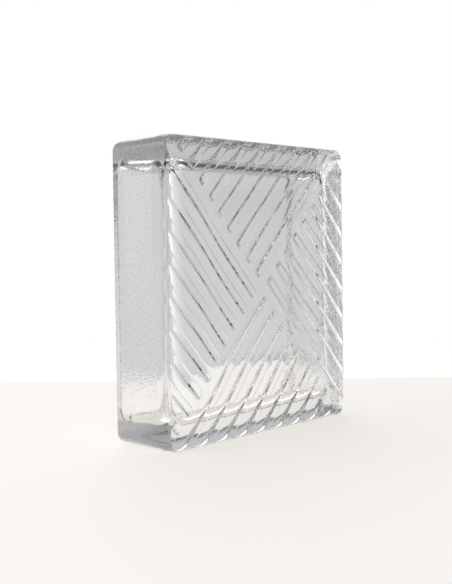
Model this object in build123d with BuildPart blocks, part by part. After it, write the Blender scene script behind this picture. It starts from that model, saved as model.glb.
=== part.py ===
"""Pressed half block of clear glass with a pinwheel of ribs on its face.

The block stands upright on its bottom side. Its ribbed face looks toward -Y and its
open back toward +Y, and the origin is on the floor under the middle of its box.
All sizes are millimetres.
"""
import math
import os

from build123d import *

# The block as a whole
face_size = 190.0
depth = 47.5
corner_radius = 7.5
face_edge_radius = 3.5

# The band round the face, and the set-back side wall that the mortar grips
rim_depth = 11.0
rim_step = 0.4
side_draft = 2.4

# The hollow behind the face
pane_thickness = 12.5
back_land = 10.5
hollow_draft = 1.5
hollow_corner_radius = 12.0
hollow_floor_radius = 9.0
back_edge_radius = 1.5

# The pressed ribs, in four fields that turn round the middle of the face
field_count = 4
rib_foot_width = 8.4
rib_pitch = 13.8
rib_height = 1.35
rib_flank_angle = 58.5
rib_end_radius = 2.8
first_rib_offset = 9.2
rib_end_setback = 0.9
overrun = 5.0

wall_depth = depth - rim_depth
side_inset = rim_step + wall_depth * math.tan(math.radians(side_draft))
back_size = face_size - 2 * side_inset
hollow_size = back_size - 2 * back_land
hollow_depth = depth - pane_thickness

face_plane = Plane(origin=(0, -depth / 2, face_size / 2), x_dir=(1, 0, 0), z_dir=(0, -1, 0))
back_plane = Plane(origin=(0, depth / 2, face_size / 2), x_dir=(1, 0, 0), z_dir=(0, 1, 0))

# Ribs lie at 45 degrees, so they are counted along a half diagonal of the face.
half_diagonal = face_size / math.sqrt(2)
rib_length = half_diagonal + overrun
rib_count = int((half_diagonal - first_rib_offset) / rib_pitch) + 1
rib_centres = [
    (rib_end_setback + rib_length / 2, first_rib_offset + number * rib_pitch)
    for number in range(rib_count)
]

# Each field fills one quarter between the diagonals, and its ribs run past the edge.
with BuildPart() as ribs:
    with BuildSketch(face_plane.offset(-rib_height)):
        with PolarLocations(0, field_count, start_angle=45):
            with Locations(*rib_centres):
                RectangleRounded(rib_length, rib_foot_width, rib_end_radius)
    extrude(amount=rib_height, taper=rib_flank_angle)

# What the mould leaves low between the ribs
with BuildPart() as valleys:
    with BuildSketch(face_plane.offset(-rib_height)):
        Rectangle(face_size + overrun, face_size + overrun)
    extrude(amount=rib_height)
    add(ribs.part, mode=Mode.SUBTRACT)

with BuildPart() as glass_block:
    # Side wall, narrowing toward the back
    with BuildSketch(face_plane.offset(-rim_depth)):
        wall_size = face_size - 2 * rim_step
        RectangleRounded(wall_size, wall_size, corner_radius - rim_step)
    extrude(amount=-wall_depth, taper=side_draft)
    fillet(glass_block.faces().sort_by(Axis.Y)[-1].edges(), radius=back_edge_radius)

    # Full-size band round the face, rounded toward the front
    with BuildSketch(face_plane):
        RectangleRounded(face_size, face_size, corner_radius)
    extrude(amount=-rim_depth)
    fillet(glass_block.faces().sort_by(Axis.Y)[0].edges(), radius=face_edge_radius)

    # Hollow, pressed in from the back
    with BuildSketch(back_plane):
        RectangleRounded(hollow_size, hollow_size, hollow_corner_radius)
    extrude(amount=-hollow_depth, taper=hollow_draft, mode=Mode.SUBTRACT)
    hollow_floor = glass_block.faces().filter_by(Axis.Y).filter_by_position(
        Axis.Y, -depth / 2 + pane_thickness - 0.01, -depth / 2 + pane_thickness + 0.01
    )
    fillet(hollow_floor[0].edges(), radius=hollow_floor_radius)
    back_rim = glass_block.faces().sort_by(Axis.Y)[-1]
    fillet(back_rim.inner_wires()[0].edges(), radius=back_edge_radius)

    # Left and right are alike, so the left half is kept and mirrored
    split(bisect_by=Plane.YZ, keep=Keep.BOTTOM)
    mirror(about=Plane.YZ)

    # Pressed pattern
    add(valleys.part, mode=Mode.SUBTRACT)

glass_block.part.label = "glass_block"

os.makedirs("parts", exist_ok=True)
export_step(glass_block.part, "parts/glass_block.step")
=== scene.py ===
import math

import bmesh
import bpy
from mathutils import Matrix, Vector


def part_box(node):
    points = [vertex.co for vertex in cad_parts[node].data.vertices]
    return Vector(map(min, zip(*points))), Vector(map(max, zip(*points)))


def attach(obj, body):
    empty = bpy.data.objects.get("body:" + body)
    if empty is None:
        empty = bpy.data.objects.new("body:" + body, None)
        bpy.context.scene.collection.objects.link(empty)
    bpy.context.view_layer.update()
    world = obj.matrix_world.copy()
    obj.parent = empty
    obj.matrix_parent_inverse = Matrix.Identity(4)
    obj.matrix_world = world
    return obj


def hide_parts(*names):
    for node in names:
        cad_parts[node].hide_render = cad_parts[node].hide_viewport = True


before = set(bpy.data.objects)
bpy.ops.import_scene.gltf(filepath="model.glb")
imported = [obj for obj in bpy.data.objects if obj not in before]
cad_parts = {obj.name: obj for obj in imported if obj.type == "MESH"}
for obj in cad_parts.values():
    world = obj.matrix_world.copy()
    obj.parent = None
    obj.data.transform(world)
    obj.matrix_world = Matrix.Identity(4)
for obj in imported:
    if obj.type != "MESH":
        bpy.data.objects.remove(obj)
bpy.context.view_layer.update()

# Pressed half block of clear soda-lime glass. It is one piece, struck in an iron mould with
# a plunger: a thick ribbed face, a full-size band round it, and a wall that narrows toward
# the open back, where a second half would be joined or the block set on its frame.
MM = 0.001
low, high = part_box("glass_block")
face_size = high.x - low.x
depth = high.y - low.y
front_y = low.y
back_y = high.y
middle_z = (low.z + high.z) / 2
middle = Vector((0.0, 0.0, middle_z))

corner_radius = 7.5 * MM
face_edge_radius = 3.5 * MM
rim_depth = 11.0 * MM
rim_step = 0.4 * MM
rim_step_softness = 0.15 * MM
side_draft = math.radians(2.4)
back_edge_radius = 1.5 * MM
rim_end_y = front_y + rim_depth
wall_depth = depth - rim_depth
side_inset = wall_depth * math.tan(side_draft)
wall_start_size = face_size - 2 * rim_step
back_size = wall_start_size - 2 * side_inset
TOUCH = 0.01 * MM


def select_only(piece, kind, wanted):
    """In edit mode, selects the edges or faces of the piece that pass a test."""
    bpy.ops.mesh.select_mode(type="EDGE" if kind == "edges" else "FACE")
    bpy.ops.mesh.select_all(action="DESELECT")
    mesh = bmesh.from_edit_mesh(piece.data)
    for part in [part for part in getattr(mesh, kind) if wanted(part)]:
        part.select_set(True)
    bmesh.update_edit_mesh(piece.data)


def runs_along_y(edge):
    """True for an edge that is parallel to the press stroke."""
    start, end = (corner.co for corner in edge.verts)
    return math.hypot(start.x - end.x, start.z - end.z) < TOUCH


def lies_at(y):
    """A test for edges or faces that lie flat at one depth."""
    return lambda part: all(abs(corner.co.y - y) < TOUCH for corner in part.verts)


def add_box(name, size, centre):
    """A box primitive with its size and place applied, left in edit mode."""
    bpy.ops.object.select_all(action="DESELECT")
    bpy.ops.mesh.primitive_cube_add(size=1.0, location=centre, scale=size)
    bpy.ops.object.transform_apply(location=True, rotation=True, scale=True)
    piece = bpy.context.object
    piece.name = name
    bpy.ops.object.mode_set(mode="EDIT")
    return piece


block = add_box(
    "pressed_block",
    (face_size, rim_depth, face_size),
    (0.0, front_y + rim_depth / 2, middle_z),
)
select_only(block, "edges", runs_along_y)
bpy.ops.mesh.bevel(offset=corner_radius, segments=12, affect="EDGES")
select_only(block, "faces", lies_at(rim_end_y))
bpy.ops.mesh.inset(thickness=rim_step)
bpy.ops.mesh.extrude_region_move(TRANSFORM_OT_translate={"value": (0.0, wall_depth, 0.0)})
narrowing = back_size / wall_start_size
bpy.ops.transform.resize(value=(narrowing, 1.0, narrowing), center_override=middle)
select_only(block, "edges", lies_at(front_y))
bpy.ops.mesh.bevel(offset=face_edge_radius, segments=8, affect="EDGES")
select_only(block, "edges", lies_at(back_y))
bpy.ops.mesh.bevel(offset=back_edge_radius, segments=4, affect="EDGES")
select_only(block, "edges", lies_at(rim_end_y))
bpy.ops.mesh.bevel(offset=rim_step_softness, segments=2, affect="EDGES")
bpy.ops.object.mode_set(mode="OBJECT")

# The hollow that the plunger left: its walls open a little toward the back so that the
# plunger could be drawn out, and a wide round runs all the way along the foot of the wall.
pane_thickness = 12.5 * MM
back_land = 10.5 * MM
hollow_draft = math.radians(1.5)
hollow_corner_radius = 12.0 * MM
hollow_floor_radius = 9.0 * MM
clearance = 5.0 * MM
floor_y = front_y + pane_thickness
plunger_end_y = back_y + clearance
plunger_depth = plunger_end_y - floor_y
plunger_size = back_size - 2 * back_land + 2 * clearance * math.tan(hollow_draft)
plunger_tip_size = plunger_size - 2 * plunger_depth * math.tan(hollow_draft)

plunger = add_box(
    "plunger",
    (plunger_size, plunger_depth, plunger_size),
    (0.0, (floor_y + plunger_end_y) / 2, middle_z),
)
select_only(plunger, "edges", runs_along_y)
bpy.ops.mesh.bevel(offset=hollow_corner_radius, segments=12, affect="EDGES")
select_only(plunger, "faces", lies_at(floor_y))
narrowing = plunger_tip_size / plunger_size
bpy.ops.transform.resize(value=(narrowing, 1.0, narrowing), center_override=middle)
select_only(plunger, "edges", lies_at(floor_y))
bpy.ops.mesh.bevel(offset=hollow_floor_radius, segments=12, affect="EDGES")
bpy.ops.object.mode_set(mode="OBJECT")


def cut_away(piece, tool):
    """Takes the tool's shape out of the piece and removes the tool."""
    bpy.ops.object.select_all(action="DESELECT")
    bpy.context.view_layer.objects.active = piece
    cut = piece.modifiers.new("cut", "BOOLEAN")
    cut.operation = "DIFFERENCE"
    cut.solver = "EXACT"
    cut.object = tool
    bpy.ops.object.modifier_apply(modifier=cut.name)
    bpy.data.objects.remove(tool)


cut_away(block, plunger)


def edges_hollow_mouth(edge):
    """True for the edges where the hollow meets the flat back rim."""
    reach = [max(abs(corner.co.x), abs(corner.co.z - middle_z)) for corner in edge.verts]
    return lies_at(back_y)(edge) and max(reach) < back_size / 2 - back_land + TOUCH


bpy.context.view_layer.objects.active = block
bpy.ops.object.mode_set(mode="EDIT")
select_only(block, "edges", edges_hollow_mouth)
bpy.ops.mesh.bevel(offset=back_edge_radius, segments=4, affect="EDGES")
bpy.ops.object.mode_set(mode="OBJECT")

# The ribs of the face: the mould pressed four fields of straight ribs that turn round the
# middle, each field at right angles to the next. A rib's flank is steep under its crest
# and runs out gently into the valley. The valleys between the ribs are cut here.
rib_foot_width = 8.4 * MM
rib_pitch = 13.8 * MM
rib_height = 1.35 * MM
steep_height = 0.95 * MM
steep_run = 1.0 * MM
gentle_run = 1.2 * MM
rib_end_radius = 2.8 * MM
first_rib_offset = 9.2 * MM
rib_end_setback = 0.9 * MM
field_count = 4
below_valley = 0.5 * MM
above_crest = 1.0 * MM
half_diagonal = face_size / math.sqrt(2)
rib_length = half_diagonal + clearance
rib_count = int((half_diagonal - first_rib_offset) / rib_pitch) + 1
valley_y = front_y + rib_height

rib = add_box(
    "rib",
    (rib_length, below_valley, rib_foot_width),
    (rib_end_setback + rib_length / 2, valley_y + below_valley / 2, 0.0),
)
select_only(rib, "edges", lambda edge: runs_along_y(edge) and edge.verts[0].co.x < rib_length / 2)
bpy.ops.mesh.bevel(offset=rib_end_radius, segments=5, affect="EDGES")
select_only(rib, "faces", lies_at(valley_y))
bpy.ops.mesh.inset(thickness=gentle_run, depth=rib_height - steep_height)
bpy.ops.mesh.inset(thickness=steep_run, depth=steep_height)
bpy.ops.mesh.extrude_region_move(TRANSFORM_OT_translate={"value": (0.0, -above_crest, 0.0)})
bpy.ops.object.mode_set(mode="OBJECT")

rib_copies = []
for field in range(field_count):
    turn = Matrix.Rotation(math.radians(90 * field - 45), 4, "Y")
    for number in range(rib_count):
        copy = rib.copy()
        copy.data = rib.data.copy()
        bpy.context.collection.objects.link(copy)
        aside = Matrix.Translation((0.0, 0.0, first_rib_offset + number * rib_pitch))
        copy.data.transform(Matrix.Translation(middle) @ turn @ aside)
        rib_copies.append(copy)
bpy.data.objects.remove(rib)
bpy.ops.object.select_all(action="DESELECT")
for copy in rib_copies:
    copy.select_set(True)
ribs = rib_copies[0]
bpy.context.view_layer.objects.active = ribs
bpy.ops.object.join()

valleys_top_y = front_y - above_crest / 2
valleys = add_box(
    "valleys",
    (face_size + clearance, valley_y - valleys_top_y, face_size + clearance),
    (0.0, (valley_y + valleys_top_y) / 2, middle_z),
)
bpy.ops.object.mode_set(mode="OBJECT")
cut_away(valleys, ribs)
cut_away(block, valleys)

# Pressed glass has no sharp edges, because its skin draws them round as it cools.
rib_softness = 0.35 * MM
soft_edge_angle = math.radians(20)


def in_relief(part):
    """True for an edge or face that lies between the valleys' floor and the crests."""
    return all(corner.co.y < valley_y + TOUCH for corner in part.verts)


def edges_of_relief(edge):
    """True for the edges where a rib's crest, flank and valley meet."""
    if not edge.is_manifold or edge.calc_face_angle() < soft_edge_angle:
        return False
    return in_relief(edge)


bpy.context.view_layer.objects.active = block
block.select_set(True)
bpy.ops.object.mode_set(mode="EDIT")
bpy.ops.mesh.select_all(action="SELECT")
bpy.ops.mesh.remove_doubles(threshold=TOUCH)
select_only(block, "edges", edges_of_relief)
bpy.ops.mesh.bevel(offset=rib_softness, segments=3, affect="EDGES", clamp_overlap=False)

# The face sank a little in its middle as the thick pane cooled, so it is cut into strips
# and set back there, ribs and all, by a depth that runs out to nothing near its border.
sink_depth = 2.4 * MM
sink_flat_reach = 37.0 * MM
sink_full_reach = 74.0 * MM
strip_width = 6.0 * MM
strip_count = int(2 * sink_full_reach / strip_width) + 1
for number in range(strip_count + 1):
    place = -sink_full_reach + number * strip_width
    for across in (Vector((1.0, 0.0, 0.0)), Vector((0.0, 0.0, 1.0))):
        select_only(block, "faces", in_relief)
        bpy.ops.mesh.bisect(plane_co=middle + across * place, plane_no=across)


def sink_share(reach):
    """How much of the sink there is at one distance from the middle, from 1 to 0."""
    way = (abs(reach) - sink_flat_reach) / (sink_full_reach - sink_flat_reach)
    way = min(max(way, 0.0), 1.0)
    return 1.0 - way * way * (3.0 - 2.0 * way)


mesh = bmesh.from_edit_mesh(block.data)
for corner in mesh.verts:
    if corner.co.y < valley_y + TOUCH:
        corner.co.y += sink_depth * sink_share(corner.co.x) * sink_share(corner.co.z - middle_z)
bmesh.update_edit_mesh(block.data)
bpy.ops.mesh.select_all(action="SELECT")
bpy.ops.mesh.normals_make_consistent(inside=False)
bpy.ops.object.mode_set(mode="OBJECT")

# The skin is smooth across its soft edges, and the large flat faces keep their own normals.
smooth_angle = math.radians(35)
large_face_weight = 100
bpy.ops.object.shade_smooth_by_angle(angle=smooth_angle)
weighted = block.modifiers.new("flat faces stay flat", "WEIGHTED_NORMAL")
weighted.keep_sharp = True
weighted.weight = large_face_weight
bpy.ops.object.modifier_apply(modifier=weighted.name)


def linear(hex_colour):
    """An sRGB hex colour as the linear values that Blender's sockets take."""
    channels = [int(hex_colour[place : place + 2], 16) / 255 for place in (1, 3, 5)]
    return [c / 12.92 if c <= 0.04045 else ((c + 0.055) / 1.055) ** 2.4 for c in channels] + [1.0]


def add_node(tree, kind, settings=None, links=None):
    """Adds a node with its socket values, its own settings and its incoming links."""
    node = tree.nodes.new(kind)
    for name, value in (settings or {}).items():
        if isinstance(name, str) and hasattr(node, name):
            setattr(node, name, value)
        else:
            node.inputs[name].default_value = value
    for name, source in (links or {}).items():
        tree.links.new(source, node.inputs[name])
    return node


# Two finishes are kept on the faces themselves. Behind the rim and on the back land the
# glass took the grain of the mould wall. A thin film of scale from the hot mould dulls it
# in specks there, and most of all along the outer back edge.
outer_skin = 4.5 * MM
grained_reach = back_size / 2 - outer_skin
plain_grain = 0.2
wall_film = 0.28
grain_share = block.data.attributes.new("mould_grain", "FLOAT", "FACE")
film_share = block.data.attributes.new("mould_scale_film", "FLOAT", "FACE")
for face in block.data.polygons:
    reach = max(abs(face.center.x), abs(face.center.z - middle_z))
    outer = face.center.y > rim_end_y + TOUCH and reach > grained_reach
    back = face.center.y > back_y - back_edge_radius
    grain_share.data[face.index].value = 1.0 if outer or back else plain_grain
    if outer:
        film_share.data[face.index].value = 1.0 if back else wall_film

# Soda-lime glass: clear and colourless to the eye, with a grey cast through a thick part.
# Its pressed skin is glossy and slightly wavy. The grain of the mould wall is finer than a
# pixel, about 0.3 mm, so it is drawn at 1.5 mm.
grain_size = 1.5 * MM
grain_height = 0.15 * MM
wave_length = 6.0 * MM
wave_height = 0.05 * MM
grain_roughness = 0.08
scale_brown = linear("#B79C85")
film_density = 0.6
glass = bpy.data.materials.new("pressed_soda_lime_glass")
glass.use_nodes = True
tree = glass.node_tree
surface = tree.nodes["Principled BSDF"]
surface.inputs["IOR"].default_value = 1.52
where = add_node(tree, "ShaderNodeTexCoord").outputs["Object"]
grained = add_node(tree, "ShaderNodeAttribute", {"attribute_name": "mould_grain"}).outputs["Fac"]
filmed = add_node(tree, "ShaderNodeAttribute", {"attribute_name": "mould_scale_film"}).outputs["Fac"]
wave = add_node(tree, "ShaderNodeTexNoise", {"Scale": 1 / wave_length, "Detail": 1.0}, {"Vector": where})
waves = add_node(tree, "ShaderNodeBump", {"Distance": wave_height}, {"Height": wave.outputs[0]})
grain = add_node(tree, "ShaderNodeTexNoise", {"Scale": 1 / grain_size, "Detail": 2.0}, {"Vector": where})
skin = add_node(
    tree,
    "ShaderNodeBump",
    {"Distance": grain_height},
    {"Height": grain.outputs[0], "Strength": grained, "Normal": waves.outputs[0]},
)
tree.links.new(skin.outputs[0], surface.inputs["Normal"])
dulled = add_node(
    tree,
    "ShaderNodeMapRange",
    {"From Min": plain_grain, "From Max": 1.0, "To Min": 0.0, "To Max": grain_roughness},
    {"Value": grained},
)
tree.links.new(dulled.outputs[0], surface.inputs["Roughness"])
specks = add_node(
    tree,
    "ShaderNodeMapRange",
    {"From Min": 0.5, "From Max": 0.62, "To Min": 0.0, "To Max": 1.0},
    {"Value": grain.outputs[0]},
)
film = add_node(tree, "ShaderNodeMath", {"operation": "MULTIPLY"}, {0: specks.outputs[0], 1: filmed})
# A Mix node has a socket of each kind, and its colour ones are at these places.
FIRST_COLOUR, SECOND_COLOUR, MIXED_COLOUR = 6, 7, 2
tone = add_node(
    tree,
    "ShaderNodeMix",
    {"data_type": "RGBA", FIRST_COLOUR: linear("#FFFFFF"), SECOND_COLOUR: scale_brown},
    {0: film.outputs[0]},
)
tree.links.new(tone.outputs[MIXED_COLOUR], surface.inputs["Base Color"])
clear = add_node(
    tree,
    "ShaderNodeMapRange",
    {"From Min": 0.0, "From Max": 1.0, "To Min": 1.0, "To Max": 1.0 - film_density},
    {"Value": film.outputs[0]},
)
tree.links.new(clear.outputs[0], surface.inputs["Transmission Weight"])
body = add_node(tree, "ShaderNodeVolumeAbsorption", {"Color": linear("#DCDEE1"), "Density": 8.0})
tree.links.new(body.outputs["Volume"], tree.nodes["Material Output"].inputs["Volume"])
block.data.materials.clear()
block.data.materials.append(glass)

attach(block, "root")
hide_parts("glass_block")

# The studio: a table of pale acrylic sheet, lit from below as well as from above so that
# the glass has no dark foot. Its far edge is square to the view and shows through the glass.
heading = math.radians(-51.25)
table_width = 4.0
table_far = 0.26
bpy.ops.object.select_all(action="DESELECT")
bpy.ops.mesh.primitive_plane_add(size=table_width, location=(0.0, table_far - table_width / 2, 0.0))
floor = bpy.context.object
floor.name = "studio_floor"
bpy.ops.object.transform_apply(location=True, rotation=True, scale=True)
bpy.ops.object.mode_set(mode="EDIT")
bpy.ops.transform.rotate(value=-heading, orient_axis="Z", center_override=(0.0, 0.0, 0.0))
bpy.ops.object.mode_set(mode="OBJECT")
sheet = bpy.data.materials.new("opal_acrylic_sheet")
sheet.use_nodes = True
sheet_face = sheet.node_tree.nodes["Principled BSDF"]
sheet_face.inputs["Base Color"].default_value = linear("#E8E5DE")
sheet_face.inputs["Roughness"].default_value = 0.6
sheet_face.inputs["Emission Color"].default_value = linear("#FBF8F2")
sheet_face.inputs["Emission Strength"].default_value = 0.6
floor.data.materials.append(sheet)

# The room: an even pale grey behind the block, brighter toward the left, and darker below
# the table, overhead and in front, where only a white card stands level at the right. The
# dark parts draw the ribs. The camera itself sees plain white behind the block.
room_grey = linear("#D0D0D3")
room_dark = linear("#0C0B0A")
world = bpy.data.worlds.new("studio")
world.use_nodes = True
bpy.context.scene.world = world
sky = world.node_tree
direction = add_node(sky, "ShaderNodeTexCoord").outputs["Generated"]
toward = add_node(sky, "ShaderNodeSeparateXYZ", None, {0: direction})
smooth = {"interpolation_type": "SMOOTHSTEP"}
steepness = add_node(sky, "ShaderNodeMath", {"operation": "ABSOLUTE"}, {0: toward.outputs["Z"]})
level = add_node(
    sky,
    "ShaderNodeMapRange",
    {**smooth, "From Min": 0.0, "From Max": 0.2, "To Min": 1.0, "To Max": 0.0},
    {"Value": steepness.outputs[0]},
)
rightward = add_node(
    sky,
    "ShaderNodeMapRange",
    {**smooth, "From Min": 0.2, "From Max": 0.6, "To Min": 0.0, "To Max": 1.0},
    {"Value": toward.outputs["X"]},
)
backward = add_node(
    sky,
    "ShaderNodeMapRange",
    {**smooth, "From Min": -0.35, "From Max": 0.15, "To Min": 0.0, "To Max": 1.0},
    {"Value": toward.outputs["Y"]},
)
card = add_node(
    sky, "ShaderNodeMath", {"operation": "MULTIPLY"}, {0: level.outputs[0], 1: rightward.outputs[0]}
)
pale = add_node(
    sky, "ShaderNodeMath", {"operation": "MAXIMUM"}, {0: card.outputs[0], 1: backward.outputs[0]}
)
room = add_node(
    sky,
    "ShaderNodeMix",
    {"data_type": "RGBA", FIRST_COLOUR: room_dark, SECOND_COLOUR: room_grey},
    {0: pale.outputs[0]},
)
below_table = add_node(
    sky,
    "ShaderNodeMapRange",
    {**smooth, "From Min": -0.22, "From Max": -0.13, "To Min": 0.25, "To Max": 1.0},
    {"Value": toward.outputs["Z"]},
)
overhead = add_node(
    sky,
    "ShaderNodeMapRange",
    {**smooth, "From Min": 0.3, "From Max": 0.8, "To Min": 1.0, "To Max": 0.3},
    {"Value": toward.outputs["Z"]},
)
leftward = add_node(
    sky,
    "ShaderNodeMapRange",
    {**smooth, "From Min": -0.6, "From Max": 0.8, "To Min": 2.0, "To Max": 1.0},
    {"Value": toward.outputs["X"]},
)
upright = add_node(
    sky, "ShaderNodeMath", {"operation": "MULTIPLY"}, {0: below_table.outputs[0], 1: overhead.outputs[0]}
)
brightness = add_node(
    sky, "ShaderNodeMath", {"operation": "MULTIPLY"}, {0: upright.outputs[0], 1: leftward.outputs[0]}
)
lit = add_node(
    sky,
    "ShaderNodeVectorMath",
    {"operation": "SCALE"},
    {0: room.outputs[MIXED_COLOUR], "Scale": brightness.outputs[0]},
)
ray = add_node(sky, "ShaderNodeLightPath")
seen = add_node(
    sky,
    "ShaderNodeMix",
    {"data_type": "RGBA", SECOND_COLOUR: linear("#FFFFFF")},
    {0: ray.outputs["Is Camera Ray"], FIRST_COLOUR: lit.outputs[0]},
)
sky.links.new(seen.outputs[MIXED_COLOUR], sky.nodes["Background"].inputs["Color"])


def add_softbox(name, place, size, power):
    """A square area light that faces the middle of the block."""
    light = bpy.data.lights.new(name, "AREA")
    light.energy = power
    light.size = size
    lamp = bpy.data.objects.new(name, light)
    bpy.context.collection.objects.link(lamp)
    lamp.location = place
    lamp.rotation_euler = (middle - Vector(place)).to_track_quat("-Z", "Y").to_euler()


add_softbox("key_softbox", place=(-1.2, -0.9, 1.4), size=1.0, power=5.0)
add_softbox("back_softbox", place=(0.9, 1.1, 1.5), size=1.0, power=4.0)

# The camera stands left of the face and a little above its middle, as in the photo.
photo_width, photo_height = 452, 584
focal_px = 1101.4
camera_place = Vector((-0.5793, -0.4550, 0.12544))
pitch = math.radians(-2.60)
roll = math.radians(-0.79)
camera = bpy.data.cameras.new("camera")
camera.sensor_width = 36.0
camera.lens = focal_px / max(photo_width, photo_height) * camera.sensor_width
camera.clip_start = 0.01
camera_stand = bpy.data.objects.new("camera", camera)
bpy.context.collection.objects.link(camera_stand)
aim = Matrix.Rotation(heading, 4, "Z") @ Matrix.Rotation(math.pi / 2 + pitch, 4, "X")
camera_stand.matrix_world = Matrix.Translation(camera_place) @ aim @ Matrix.Rotation(roll, 4, "Z")
bpy.context.scene.camera = camera_stand

# Light goes through many surfaces of clear glass, so its paths are long.
cycles = bpy.context.scene.cycles
cycles.max_bounces = 40
cycles.transmission_bounces = 40
cycles.glossy_bounces = 24
bpy.context.scene.view_settings.view_transform = "Standard"
